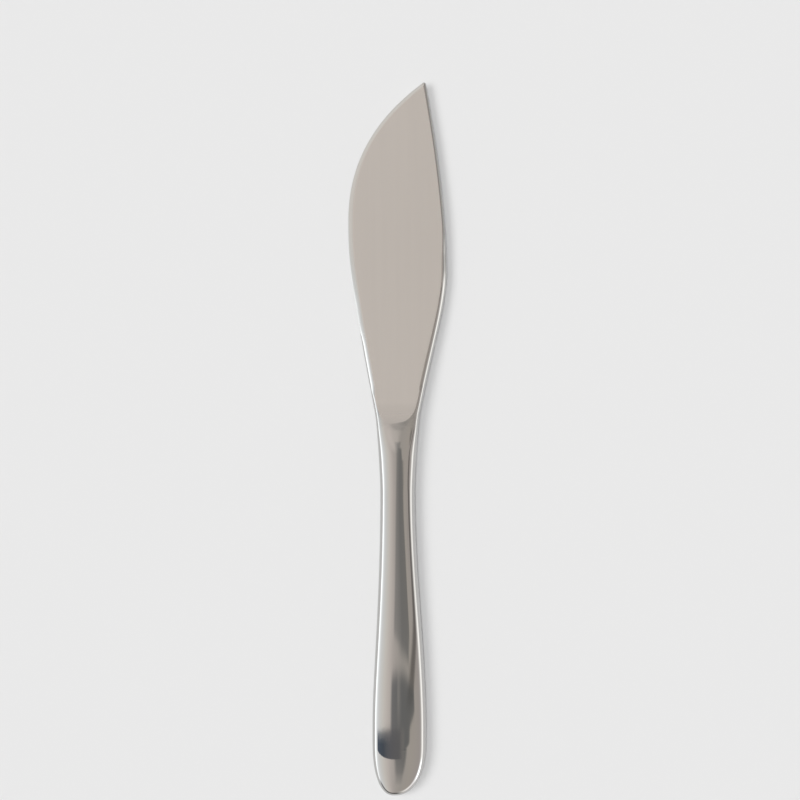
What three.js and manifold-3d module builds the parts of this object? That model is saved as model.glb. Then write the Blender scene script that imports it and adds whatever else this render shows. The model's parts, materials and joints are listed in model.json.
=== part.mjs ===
// Dessert knife: a forged blade held in a polished hollow handle of two pressed half shells.
// Lengths are in millimetres. X runs from the cutting edge to the spine, Y from the butt
// to the tip, and Z up from the table on which the knife lies flat.

import * as THREE from 'three';
import { mergeVertices } from 'three/addons/utils/BufferGeometryUtils.js';
import Module from 'manifold-3d';

const wasm = await Module();
wasm.setup();

// Whole knife
const overallLength = 205;
const handleLength = 109.4;

// Handle outline, seen from above
const gripHalfWidth = 7.7;
const gripFromButt = 19;
const neckHalfWidth = 4.97;
const neckFromShoulder = 22.4;
const shoulderHalfWidth = 6.38;
const gripOffset = 0.5;
const gripReachShare = 0.28;
const neckReachShare = 0.38;
const neckRiseShare = 0.24;
const shoulderReachShare = 0.09;
const offsetStartShare = 0.28;

// Rounded butt, a little fuller on the side of the cutting edge
const buttLength = 15.6;
const buttPower = 2.3;
const buttLean = 1.5;

// Blade outline, seen from above
const bellyReach = 14.15;
const bellyFromTip = 40;
const spineReach = 14.18;
const spineFromTip = 54;
const tipReach = 7.5;
const tipRadius = 0.7;
const flareSlope = 0.19;
const edgeFlareShare = 0.72;
const bellyBelowShare = 0.18;
const bellyAboveShare = 0.28;
const tipSweepShare = 0.86;
const tipRiseShare = 0.34;
const spineFlareShare = 0.47;
const spineBelowShare = 0.25;
const spineAboveShare = 0.155;
const spineTipShare = 0.46;
const roundShare = 0.55;

// Thickness of the forged bar, seen from the side
const gripThickness = 7.2;
const neckThickness = 6.8;
const neckEndFromShoulder = 12.4;
const shoulderThickness = 5.7;
const bladeBarThickness = 5.4;
const heelFromShoulder = 9;

// Roundness of the section: 2 is an ellipse, more is squarer
const gripPower = 2.4;
const shoulderPower = 3.6;
const bladePower = 3;
const heelEndFromShoulder = 25;

// Flats ground on both faces of the blade
const tipThickness = 1;
const taperThickness = 1.7;
const taperFromTip = 48;
const heelThickness = 4.5;
const runOutFromShoulder = 3.6;
const runOutRadius = 45;
const heelGrindSlope = 0.045;
const taperReachShare = 0.3;
const heelReachShare = 0.4;
const wedgeAngle = THREE.MathUtils.degToRad(1.4);

// Sides of the blade that slope down from the ground faces: the power is the roundness of the
// slope, from 1 for a flat one to 2 for an ellipse
const edgeRoundWidth = 1.4;
const spineRoundWidth = 1.85;
const midRoundWidth = 1.5;
const tipRoundWidth = 0.9;
const roundSlope = 0.8;
const edgePower = 1.3;
const spineHeelPower = 1.7;
const spineTipPower = 1.25;
const grindStock = 0.01;

// Cutting edge, sharpened by a bevel that grows out of the sloping side and narrows to the tip
const edgeThickness = 0.24;
const bellyBevelWidth = 1.35;
const tipBevelWidth = 1;
const bevelSlope = 0.52;
const edgeFromShoulder = 23;
const edgeFadeLength = 7;

// Joint between the forging and the handle shells
const shellWall = 0.9;
const bolsterLength = 7.4;
const brazeThickness = 0.25;
const spigotLength = 2.6;
const fitGap = 0.3;

// Tang and the cement that holds it
const tangLength = 40;
const tangEndShare = 0.75;
const tangRootDepth = 1.5;
const cementSide = 1.2;
const cementCrown = 0.7;
const cementPastTang = 4;
const notchFromJoint = 24;
const notchLength = 4;
const notchDepth = 0.6;

// Division of the surfaces
const sideFacets = 22;
const cornerFacets = 6;
const cornerLimitShare = 0.9;
const buttRings = 10;
const tipRings = 10;
const tipZone = 14;
const ringPitch = 4;
const shoulderPitch = 1.4;
const grindSegments = 12;
const halvings = 40;
const overrun = 2;

// Places along the knife
const gripY = gripFromButt;
const neckY = handleLength - neckFromShoulder;
const neckEndY = handleLength - neckEndFromShoulder;
const heelY = handleLength + heelFromShoulder;
const bellyY = overallLength - bellyFromTip;
const spineY = overallLength - spineFromTip;
const jointY = handleLength - bolsterLength;
const mouthY = jointY - brazeThickness;
const spigotEndY = mouthY - spigotLength;
const tangEndY = jointY - tangLength;
const edgeY = handleLength + edgeFromShoulder;
const runOutY = handleLength + runOutFromShoulder;
const taperY = overallLength - taperFromTip;

const { smoothstep, lerp } = THREE.MathUtils;

// Outline curves, from points of [across, along]
function curve(...points) {
  return new THREE.CubicBezierCurve(...points.map(([x, y]) => new THREE.Vector2(x, y)));
}

const gripSpan = neckY - gripY;
const handleCurves = [
  curve(
    [gripHalfWidth, gripY],
    [gripHalfWidth, gripY + gripReachShare * gripSpan],
    [neckHalfWidth, neckY - neckReachShare * gripSpan],
    [neckHalfWidth, neckY],
  ),
  curve(
    [neckHalfWidth, neckY],
    [neckHalfWidth, neckY + neckRiseShare * neckFromShoulder],
    [
      shoulderHalfWidth - flareSlope * shoulderReachShare * neckFromShoulder,
      handleLength - shoulderReachShare * neckFromShoulder,
    ],
    [shoulderHalfWidth, handleLength],
  ),
];

const bellySpan = bellyY - handleLength;
const edgeCurves = [
  curve(
    [-shoulderHalfWidth, handleLength],
    [-shoulderHalfWidth - flareSlope * edgeFlareShare * bellySpan, handleLength + edgeFlareShare * bellySpan],
    [-bellyReach, bellyY - bellyBelowShare * bellySpan],
    [-bellyReach, bellyY],
  ),
  curve(
    [-bellyReach, bellyY],
    [-bellyReach, bellyY + bellyAboveShare * bellyFromTip],
    [tipReach - tipSweepShare * (tipReach + bellyReach), overallLength - tipRiseShare * bellyFromTip],
    [tipReach, overallLength],
  ),
];

const spineSpan = spineY - handleLength;
const tipSide = tipReach + tipRadius;
const tipStartY = overallLength - tipRadius;
const spineCurves = [
  curve(
    [shoulderHalfWidth, handleLength],
    [shoulderHalfWidth + flareSlope * spineFlareShare * spineSpan, handleLength + spineFlareShare * spineSpan],
    [spineReach, spineY - spineBelowShare * spineSpan],
    [spineReach, spineY],
  ),
  curve(
    [spineReach, spineY],
    [spineReach, spineY + spineAboveShare * spineFromTip],
    [tipSide + flareSlope * spineTipShare * spineFromTip, tipStartY - spineTipShare * spineFromTip],
    [tipSide, tipStartY],
  ),
  curve(
    [tipSide, tipStartY],
    [tipSide, tipStartY + roundShare * tipRadius],
    [tipReach + roundShare * tipRadius, overallLength],
    [tipReach, overallLength],
  ),
];

// Where a chain of curves stands at a place along the knife, and which way it heads there
function follow(curves, y) {
  const piece = curves.find(({ v3 }) => y <= v3.y) ?? curves.at(-1);
  const point = new THREE.Vector2();
  let low = 0;
  let high = 1;
  for (let halving = 0; halving < halvings; halving += 1) {
    const t = (low + high) / 2;
    if (piece.getPoint(t, point).y < y) low = t;
    else high = t;
  }
  return { x: piece.getPoint(high, point).x, heading: piece.getTangent(high) };
}

// Profile of a ground face behind its flat front, from points of [half thickness, along]
const grindSpan = taperY - runOutY;
const tipSlope = (taperThickness - tipThickness) / 2 / taperFromTip;
const grindCurve = curve(
  [heelThickness / 2, runOutY],
  [heelThickness / 2 - heelGrindSlope * heelReachShare * grindSpan, runOutY + heelReachShare * grindSpan],
  [taperThickness / 2 + tipSlope * taperReachShare * grindSpan, taperY - taperReachShare * grindSpan],
  [taperThickness / 2, taperY],
);

// Centre of the wheel where it leaves the steel behind a ground face
const wheelLean = Math.atan(heelGrindSlope);
const wheelY = runOutY + runOutRadius * Math.sin(wheelLean);
const wheelZ = heelThickness / 2 + runOutRadius * Math.cos(wheelLean);

// Height of the ground upper face above the middle plane
function faceHeight(y, x) {
  let onAxis = taperThickness / 2 - tipSlope * (y - taperY);
  if (y < taperY) onAxis = follow([grindCurve], y).x;
  if (y < runOutY) onAxis = wheelZ - Math.sqrt(runOutRadius ** 2 - (y - wheelY) ** 2);
  return onAxis + x * Math.tan(wedgeAngle);
}

// Value that eases from each [place, value] to the next
function eased(stops, y) {
  const next = stops.findIndex(([place]) => y < place);
  if (next === 0) return stops[0][1];
  if (next < 0) return stops.at(-1)[1];
  const [from, start] = stops[next - 1];
  const [to, end] = stops[next];
  return lerp(start, end, smoothstep(y, from, to));
}

// Share of the full section left at a place in the rounded butt
function buttShare(y, inset) {
  const fromRound = Math.max(1 - (y - inset) / (buttLength - inset), 0);
  return (1 - fromRound ** buttPower) ** (1 / buttPower);
}

// Edge side and spine side of the bar, or of a smaller bar an inset inside it
function sides(y, inset) {
  if (y > handleLength) return [follow(edgeCurves, y).x + inset, follow(spineCurves, y).x - inset];
  const share = buttShare(y, inset);
  const full = y < gripY ? gripHalfWidth : follow(handleCurves, y).x;
  const half = (full - inset) * share;
  const drift = gripOffset * (1 - smoothstep(y, gripY + offsetStartShare * gripSpan, neckY));
  const middle = drift - buttLean * (1 - share);
  return [middle - half, middle + half];
}

function halfThickness(y, inset) {
  const crown = eased([
    [gripY, gripThickness / 2],
    [neckEndY, neckThickness / 2],
    [handleLength, shoulderThickness / 2],
    [heelY, bladeBarThickness / 2],
  ], y);
  return (crown - inset) * buttShare(y, inset);
}

function sectionPower(y) {
  return eased([
    [neckEndY, gripPower],
    [handleLength, shoulderPower],
    [handleLength + heelEndFromShoulder, bladePower],
  ], y);
}

// Side of the blade at one place: how wide it is, square to the outline and straight across,
// how rounded it is, and how deep it may reach
function bladeSide(y, curves, widths, half, power, slope) {
  const width = eased(widths, y);
  const lean = follow(curves, y).heading.y;
  const across = Math.min(width / lean, cornerLimitShare * half);
  return { width, lean, power, across, depth: width * slope };
}

function bladeSides(y, half) {
  const tipZoneY = overallLength - tipZone;
  const edgeWidths = [
    [handleLength, 0],
    [heelY, edgeRoundWidth],
    [edgeY, edgeRoundWidth],
    [bellyY, bellyBevelWidth],
    [tipZoneY, tipBevelWidth],
  ];
  const spineWidths = [
    [handleLength, 0],
    [heelY, spineRoundWidth],
    [spineY, midRoundWidth],
    [bellyY, tipRoundWidth],
  ];
  const sharp = smoothstep(y, edgeY - edgeFadeLength / 2, edgeY + edgeFadeLength / 2);
  const edgeSlope = lerp(roundSlope, bevelSlope, sharp);
  const spinePower = eased([[heelY, spineHeelPower], [spineY, spineTipPower]], y);
  return [
    bladeSide(y, edgeCurves, edgeWidths, half, edgePower, edgeSlope),
    bladeSide(y, spineCurves, spineWidths, half, spinePower, roundSlope),
  ];
}

// Height of a side that rises from the outline until it runs level just over the ground face
function sideHeight({ width, lean, power, depth }, y, x, fromOutline) {
  if (y <= handleLength) return Infinity;
  const inward = THREE.MathUtils.clamp(fromOutline * lean / width, 0, 1);
  const level = faceHeight(y, x) + grindStock;
  const drop = Math.min(depth, level - edgeThickness / 2);
  return level - drop * (1 - (1 - (1 - inward) ** power) ** (1 / power));
}

// Places across the bar: turned evenly round the oval handle, but crowded into both rounded
// sides of the blade
function columns(y, edge, spine, edgeAcross, spineAcross) {
  const roundness = 2 / sectionPower(y);
  const bladeShare = smoothstep(y, handleLength, heelY);
  return Array.from({ length: sideFacets + 1 }, (_, facet) => {
    const turn = Math.cos(Math.PI * facet / sideFacets);
    const oval = lerp(edge, spine, (1 - Math.sign(turn) * Math.abs(turn) ** roundness) / 2);
    const fromEnd = Math.min(facet, sideFacets - facet);
    const crowded = 1 - Math.cos(Math.PI / 2 * Math.min(fromEnd / cornerFacets, 1));
    const level = (facet - cornerFacets) / (sideFacets - 2 * cornerFacets);
    let onBlade = lerp(edge + edgeAcross, spine - spineAcross, level);
    if (level < 0) onBlade = edge + edgeAcross * crowded;
    if (level > 1) onBlade = spine - spineAcross * crowded;
    return lerp(oval, onBlade, bladeShare);
  });
}

// Ring of points round the bar at one place: over the upper face, then back under it
function section(y, inset = 0) {
  const [edge, spine] = sides(y, inset);
  const middle = (edge + spine) / 2;
  const half = (spine - edge) / 2;
  const crown = halfThickness(y, inset);
  const power = sectionPower(y);
  const [edgeSide, spineSide] = bladeSides(y, half);
  const places = columns(y, edge, spine, edgeSide.across, spineSide.across);
  const upper = places.map((x, facet) => {
    if (facet === 0 || facet === sideFacets) return [x, y, 0];
    const fromMiddle = half > 0 ? Math.min(Math.abs(x - middle) / half, 1) : 0;
    const oval = crown * (1 - fromMiddle ** power) ** (1 / power);
    const edgeHeight = sideHeight(edgeSide, y, x, x - edge);
    return [x, y, Math.min(oval, edgeHeight, sideHeight(spineSide, y, x, spine - x))];
  });
  const lower = upper.slice(1, -1).reverse().map(([x, along, z]) => [x, along, -z]);
  return [...upper, ...lower];
}

// Closed skin over a row of rings, each end closed by a flat face or drawn to a point
function loft(rings) {
  const count = rings[0].length;
  const indices = [];
  for (let ring = 0; ring < rings.length - 1; ring += 1) {
    for (let side = 0; side < count; side += 1) {
      const a = ring * count + side;
      const b = ring * count + (side + 1) % count;
      indices.push(a, b, a + count, b, b + count, a + count);
    }
  }
  const last = (rings.length - 1) * count;
  for (let side = 1; side < count - 1; side += 1) {
    indices.push(0, side + 1, side, last, last + side, last + side + 1);
  }
  const geometry = new THREE.BufferGeometry();
  geometry.setAttribute('position', new THREE.Float32BufferAttribute(rings.flat(2), 3));
  geometry.setIndex(indices);
  return geometry;
}

// Places from one end of a stretch to the other
function evenly(from, to, pitch) {
  const count = Math.max(Math.ceil((to - from) / pitch), 1);
  return Array.from({ length: count + 1 }, (_, step) => lerp(from, to, step / count));
}

// Places through a row of stations, with a ring at each of them
function through(stations, pitch) {
  const [first, ...rest] = [...stations].sort((a, b) => a - b);
  let from = first;
  return rest.reduce((places, to) => {
    places.push(...evenly(from, to, pitch).slice(1));
    from = to;
    return places;
  }, [first]);
}

// Places that crowd towards the far end of a stretch, as on a round end
function crowding(from, to, count) {
  const share = (step) => Math.sin(step / count * Math.PI / 2);
  return Array.from({ length: count + 1 }, (_, step) => lerp(from, to, share(step)));
}

// Manifold solid of a closed geometry, without the slivers of rings drawn to a point
function solid(geometry) {
  geometry.deleteAttribute('normal');
  geometry.deleteAttribute('uv');
  const merged = mergeVertices(geometry);
  const index = merged.index.array;
  const corners = [];
  for (let first = 0; first < index.length; first += 3) {
    const [a, b, c] = index.slice(first, first + 3);
    if (a !== b && b !== c && c !== a) corners.push(a, b, c);
  }
  return new wasm.Manifold(new wasm.Mesh({
    numProp: 3,
    vertProperties: merged.attributes.position.array,
    triVerts: new Uint32Array(corners),
  }));
}

function piece(name, body, color, roughness, metalness) {
  const { vertProperties, triVerts } = body.getMesh();
  const geometry = new THREE.BufferGeometry();
  geometry.setAttribute('position', new THREE.BufferAttribute(vertProperties, 3));
  geometry.setIndex(new THREE.BufferAttribute(triVerts, 1));
  const material = new THREE.MeshStandardMaterial({ color, roughness, metalness, flatShading: true });
  const mesh = new THREE.Mesh(geometry, material);
  mesh.name = name;
  return mesh;
}

const bar = (places, inset) => solid(loft(places.map((y) => section(y, inset))));

// Wheel that grinds one face of the blade: flat towards the tip, thicker towards the heel,
// and running out in an arc at the shoulder
function grindingCut(turn) {
  const { v1, v2 } = grindCurve;
  const beyondY = overallLength + overrun;
  const exit = Math.acos((wheelZ - gripThickness) / runOutRadius);

  const profile = new THREE.Shape();
  profile.moveTo(beyondY, tipThickness / 2 - tipSlope * overrun);
  profile.lineTo(taperY, taperThickness / 2);
  profile.bezierCurveTo(v2.y, v2.x, v1.y, v1.x, runOutY, heelThickness / 2);
  profile.absarc(wheelY, wheelZ, runOutRadius, -Math.PI / 2 - wheelLean, -Math.PI / 2 - exit, true);
  profile.lineTo(beyondY, gripThickness);

  const width = 2 * (bellyReach + spineReach);
  const cut = new THREE.ExtrudeGeometry(profile, {
    depth: width,
    bevelEnabled: false,
    curveSegments: grindSegments,
  });
  const [alongX, alongY, alongZ] = [0, 1, 2].map((axis) => new THREE.Vector3().setComponent(axis, 1));
  cut.applyMatrix4(new THREE.Matrix4().makeBasis(alongY, alongZ, alongX));
  cut.translate(-width / 2, 0, 0);
  cut.rotateY(turn);
  return solid(cut);
}

// Notched plan of the tang, or of the hole round it when grown by a gap
const tangHalfRoot = neckHalfWidth - shellWall - 2 * fitGap - cementSide;
const tangHalfThickness = neckThickness / 2 - shellWall - 2 * fitGap - cementCrown;

function tangSolid(gap, rootY) {
  const halfAt = (y) => gap + lerp(tangHalfRoot, tangHalfRoot * tangEndShare, (jointY - y) / tangLength);
  const notchStart = jointY - notchFromJoint + notchLength / 2 - gap;
  const notchEnd = jointY - notchFromJoint - notchLength / 2 + gap;
  const endY = tangEndY - gap;
  const flank = [
    [halfAt(jointY), rootY],
    [halfAt(jointY), jointY],
    [halfAt(notchStart), notchStart],
    [halfAt(notchStart) - notchDepth, notchStart],
    [halfAt(notchEnd) - notchDepth, notchEnd],
    [halfAt(notchEnd), notchEnd],
    [halfAt(endY), endY],
  ];
  const otherFlank = flank.map(([x, y]) => [-x, y]).reverse();
  const plan = new THREE.Shape([...flank, ...otherFlank].map(([x, y]) => new THREE.Vector2(x, y)));
  const half = tangHalfThickness + gap;
  const geometry = new THREE.ExtrudeGeometry(plan, { depth: 2 * half, bevelEnabled: false });
  return solid(geometry.translate(0, 0, -half));
}

// Blade: a bar of rounded section, with both faces ground, and a spigot and tang behind
function makeBlade() {
  const tipZoneY = overallLength - tipZone;
  const places = [
    ...evenly(jointY, runOutY, shoulderPitch),
    ...through([runOutY, spineY, bellyY, tipZoneY], ringPitch).slice(1),
    ...crowding(tipZoneY, overallLength, tipRings).slice(1),
  ];
  const spigot = bar([spigotEndY, jointY + tangRootDepth], shellWall + fitGap);
  return bar(places, 0)
    .subtract(grindingCut(-wedgeAngle))
    .subtract(grindingCut(Math.PI + wedgeAngle))
    .add(spigot)
    .add(tangSolid(0, jointY + tangRootDepth));
}

// Handle: a hollow bar split along the middle plane, open at its mouth
function makeShells() {
  const buttPlaces = (inset) => crowding(buttLength, inset, buttRings).reverse();
  const outer = bar([...buttPlaces(0), ...evenly(buttLength, mouthY, ringPitch).slice(1)], 0);
  const inner = bar(
    [...buttPlaces(shellWall), ...evenly(buttLength, mouthY + overrun, ringPitch).slice(1)],
    shellWall,
  );
  const hollow = outer.subtract(inner);
  const width = 4 * (gripHalfWidth + buttLean);
  const half = (side) => {
    const block = new THREE.BoxGeometry(width, 2 * handleLength, gripThickness);
    return hollow.intersect(solid(block.translate(0, 0, side * gripThickness / 2)));
  };
  return { upper: half(1), lower: half(-1) };
}

function makeBrazeRing() {
  const outer = bar([mouthY, jointY], 0);
  const inner = bar([mouthY - overrun, jointY + overrun], shellWall);
  return outer.subtract(inner);
}

function makeCement() {
  const plug = bar(evenly(tangEndY - cementPastTang, spigotEndY, ringPitch), shellWall + fitGap);
  return plug.subtract(tangSolid(fitGap, jointY));
}

const shells = makeShells();
const knife = new THREE.Group();
knife.add(
  piece('blade', makeBlade(), 0xbbb4ad, 0.42, 1),
  piece('handle_shell_upper', shells.upper, 0xcac7c3, 0.14, 1),
  piece('handle_shell_lower', shells.lower, 0xc4c1bd, 0.14, 1),
  piece('braze_ring', makeBrazeRing(), 0xcdbf9a, 0.3, 1),
  piece('tang_cement', makeCement(), 0x8d867c, 0.9, 0),
);

// The origin is under the middle of the knife, on the table
const reach = new THREE.Box3().setFromObject(knife);
const centre = reach.getCenter(new THREE.Vector3());
knife.position.set(-centre.x, -centre.y, -reach.min.z);

export default knife;
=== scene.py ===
"""Dessert knife on a white table: a satin blade and a polished hollow handle, finely surfaced.

Sizes are in millimetres. "Along" runs from the butt to the tip, "across" from the cutting edge to
the spine, and "up" from the middle plane of the knife.
"""

import json
import math

import bmesh
import bpy
import numpy as np
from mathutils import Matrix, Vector

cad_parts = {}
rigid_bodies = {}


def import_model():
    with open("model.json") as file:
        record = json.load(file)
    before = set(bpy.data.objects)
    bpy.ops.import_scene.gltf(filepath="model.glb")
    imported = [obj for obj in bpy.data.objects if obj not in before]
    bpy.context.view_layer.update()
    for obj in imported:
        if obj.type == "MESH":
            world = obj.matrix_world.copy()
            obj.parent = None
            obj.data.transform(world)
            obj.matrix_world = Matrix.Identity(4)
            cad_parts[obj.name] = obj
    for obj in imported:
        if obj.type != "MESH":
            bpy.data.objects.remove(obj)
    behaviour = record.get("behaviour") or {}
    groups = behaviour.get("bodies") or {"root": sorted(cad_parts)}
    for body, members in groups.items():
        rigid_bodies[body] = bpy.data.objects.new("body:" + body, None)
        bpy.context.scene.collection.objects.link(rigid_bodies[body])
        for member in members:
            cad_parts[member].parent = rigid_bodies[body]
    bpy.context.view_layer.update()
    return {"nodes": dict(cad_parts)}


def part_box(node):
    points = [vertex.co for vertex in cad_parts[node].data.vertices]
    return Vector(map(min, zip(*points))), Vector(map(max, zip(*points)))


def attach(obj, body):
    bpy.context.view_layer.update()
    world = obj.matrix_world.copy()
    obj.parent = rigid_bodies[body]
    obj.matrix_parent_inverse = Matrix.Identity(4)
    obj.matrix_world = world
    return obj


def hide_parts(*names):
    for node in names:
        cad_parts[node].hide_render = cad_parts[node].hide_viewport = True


for leftover in list(bpy.data.objects):
    bpy.data.objects.remove(leftover)

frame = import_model()

MM = 0.001

# Whole knife
OVERALL_LENGTH = 205.0
HANDLE_LENGTH = 109.4

# Handle outline, seen from above
GRIP_HALF_WIDTH = 7.7
GRIP_FROM_BUTT = 19.0
NECK_HALF_WIDTH = 4.97
NECK_FROM_SHOULDER = 22.4
SHOULDER_HALF_WIDTH = 6.38
GRIP_OFFSET = 0.5
GRIP_REACH_SHARE = 0.28
NECK_REACH_SHARE = 0.38
NECK_RISE_SHARE = 0.24
SHOULDER_REACH_SHARE = 0.09
OFFSET_START_SHARE = 0.28

# Rounded butt, a little fuller on the side of the cutting edge
BUTT_LENGTH = 15.6
BUTT_POWER = 2.3
BUTT_LEAN = 1.5

# Blade outline, seen from above
BELLY_REACH = 14.15
BELLY_FROM_TIP = 40.0
SPINE_REACH = 14.18
SPINE_FROM_TIP = 54.0
TIP_REACH = 7.5
TIP_RADIUS = 0.7
FLARE_SLOPE = 0.19
EDGE_FLARE_SHARE = 0.72
BELLY_BELOW_SHARE = 0.18
BELLY_ABOVE_SHARE = 0.28
TIP_SWEEP_SHARE = 0.86
TIP_RISE_SHARE = 0.34
SPINE_FLARE_SHARE = 0.47
SPINE_BELOW_SHARE = 0.25
SPINE_ABOVE_SHARE = 0.155
SPINE_TIP_SHARE = 0.46
ROUND_SHARE = 0.55

# Thickness of the forged bar, seen from the side
GRIP_THICKNESS = 7.2
NECK_THICKNESS = 6.8
NECK_END_FROM_SHOULDER = 12.4
SHOULDER_THICKNESS = 5.7
BLADE_BAR_THICKNESS = 5.4
HEEL_FROM_SHOULDER = 9.0

# Roundness of the section: 2 is an ellipse, more is squarer
GRIP_POWER = 2.4
SHOULDER_POWER = 3.6
BLADE_POWER = 3.0
HEEL_END_FROM_SHOULDER = 25.0

# Flats ground on both faces of the blade
TIP_THICKNESS = 1.0
TAPER_THICKNESS = 1.7
TAPER_FROM_TIP = 48.0
HEEL_THICKNESS = 4.5
RUN_OUT_FROM_SHOULDER = 3.6
RUN_OUT_RADIUS = 45.0
HEEL_GRIND_SLOPE = 0.045
TAPER_REACH_SHARE = 0.3
HEEL_REACH_SHARE = 0.4
WEDGE_ANGLE = math.radians(1.4)

# Rounded sides that the ground faces cut into
EDGE_ROUND_WIDTH = 1.4
SPINE_ROUND_WIDTH = 1.85
MID_ROUND_WIDTH = 1.5
TIP_ROUND_WIDTH = 0.9
ROUND_SLOPE = 0.8
EDGE_POWER = 1.3
SPINE_HEEL_POWER = 1.7
SPINE_TIP_POWER = 1.25
GRIND_STOCK = 0.01

# Cutting edge, sharpened by a full, rounded bevel that narrows towards the tip
EDGE_THICKNESS = 0.24
BELLY_BEVEL_WIDTH = 1.35
TIP_BEVEL_WIDTH = 1.0
BEVEL_SLOPE = 0.52
BEVEL_POWER = 1.25
EDGE_FROM_SHOULDER = 23.0
EDGE_FADE_LENGTH = 7.0
TIP_ZONE = 14.0

# Joint between the forging and the handle shells
SHELL_WALL = 0.9
BOLSTER_LENGTH = 7.4
BRAZE_THICKNESS = 0.25
SPIGOT_LENGTH = 2.6
FIT_GAP = 0.3

# Tang
TANG_LENGTH = 40.0
TANG_END_SHARE = 0.75
CEMENT_SIDE = 1.2
CEMENT_CROWN = 0.7
NOTCH_FROM_JOINT = 24.0
NOTCH_LENGTH = 4.0
NOTCH_DEPTH = 0.6

# Places along the knife
GRIP_Y = GRIP_FROM_BUTT
NECK_Y = HANDLE_LENGTH - NECK_FROM_SHOULDER
NECK_END_Y = HANDLE_LENGTH - NECK_END_FROM_SHOULDER
HEEL_Y = HANDLE_LENGTH + HEEL_FROM_SHOULDER
BELLY_Y = OVERALL_LENGTH - BELLY_FROM_TIP
SPINE_Y = OVERALL_LENGTH - SPINE_FROM_TIP
JOINT_Y = HANDLE_LENGTH - BOLSTER_LENGTH
MOUTH_Y = JOINT_Y - BRAZE_THICKNESS
SPIGOT_END_Y = MOUTH_Y - SPIGOT_LENGTH
TANG_END_Y = JOINT_Y - TANG_LENGTH
EDGE_Y = HANDLE_LENGTH + EDGE_FROM_SHOULDER
RUN_OUT_Y = HANDLE_LENGTH + RUN_OUT_FROM_SHOULDER
TAPER_Y = OVERALL_LENGTH - TAPER_FROM_TIP
TIP_ZONE_Y = OVERALL_LENGTH - TIP_ZONE

# Where the middle plane and the butt of the knife lie in the frame
BUTT_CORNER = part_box("handle_shell_lower")[0]
MIDDLE_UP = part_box("handle_shell_upper")[0].z / MM
SHIFT_ACROSS = (BELLY_REACH - SPINE_REACH) / 2
SHIFT_ALONG = BUTT_CORNER.y / MM

# Outline curves

GRIP_SPAN = NECK_Y - GRIP_Y
HANDLE_CURVES = [
    [
        (GRIP_HALF_WIDTH, GRIP_Y),
        (GRIP_HALF_WIDTH, GRIP_Y + GRIP_REACH_SHARE * GRIP_SPAN),
        (NECK_HALF_WIDTH, NECK_Y - NECK_REACH_SHARE * GRIP_SPAN),
        (NECK_HALF_WIDTH, NECK_Y),
    ],
    [
        (NECK_HALF_WIDTH, NECK_Y),
        (NECK_HALF_WIDTH, NECK_Y + NECK_RISE_SHARE * NECK_FROM_SHOULDER),
        (
            SHOULDER_HALF_WIDTH - FLARE_SLOPE * SHOULDER_REACH_SHARE * NECK_FROM_SHOULDER,
            HANDLE_LENGTH - SHOULDER_REACH_SHARE * NECK_FROM_SHOULDER,
        ),
        (SHOULDER_HALF_WIDTH, HANDLE_LENGTH),
    ],
]

BELLY_SPAN = BELLY_Y - HANDLE_LENGTH
EDGE_CURVES = [
    [
        (-SHOULDER_HALF_WIDTH, HANDLE_LENGTH),
        (
            -SHOULDER_HALF_WIDTH - FLARE_SLOPE * EDGE_FLARE_SHARE * BELLY_SPAN,
            HANDLE_LENGTH + EDGE_FLARE_SHARE * BELLY_SPAN,
        ),
        (-BELLY_REACH, BELLY_Y - BELLY_BELOW_SHARE * BELLY_SPAN),
        (-BELLY_REACH, BELLY_Y),
    ],
    [
        (-BELLY_REACH, BELLY_Y),
        (-BELLY_REACH, BELLY_Y + BELLY_ABOVE_SHARE * BELLY_FROM_TIP),
        (
            TIP_REACH - TIP_SWEEP_SHARE * (TIP_REACH + BELLY_REACH),
            OVERALL_LENGTH - TIP_RISE_SHARE * BELLY_FROM_TIP,
        ),
        (TIP_REACH, OVERALL_LENGTH),
    ],
]

SPINE_SPAN = SPINE_Y - HANDLE_LENGTH
TIP_SIDE = TIP_REACH + TIP_RADIUS
TIP_START_Y = OVERALL_LENGTH - TIP_RADIUS
SPINE_CURVES = [
    [
        (SHOULDER_HALF_WIDTH, HANDLE_LENGTH),
        (
            SHOULDER_HALF_WIDTH + FLARE_SLOPE * SPINE_FLARE_SHARE * SPINE_SPAN,
            HANDLE_LENGTH + SPINE_FLARE_SHARE * SPINE_SPAN,
        ),
        (SPINE_REACH, SPINE_Y - SPINE_BELOW_SHARE * SPINE_SPAN),
        (SPINE_REACH, SPINE_Y),
    ],
    [
        (SPINE_REACH, SPINE_Y),
        (SPINE_REACH, SPINE_Y + SPINE_ABOVE_SHARE * SPINE_FROM_TIP),
        (
            TIP_SIDE + FLARE_SLOPE * SPINE_TIP_SHARE * SPINE_FROM_TIP,
            TIP_START_Y - SPINE_TIP_SHARE * SPINE_FROM_TIP,
        ),
        (TIP_SIDE, TIP_START_Y),
    ],
    [
        (TIP_SIDE, TIP_START_Y),
        (TIP_SIDE, TIP_START_Y + ROUND_SHARE * TIP_RADIUS),
        (TIP_REACH + ROUND_SHARE * TIP_RADIUS, OVERALL_LENGTH),
        (TIP_REACH, OVERALL_LENGTH),
    ],
]

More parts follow.
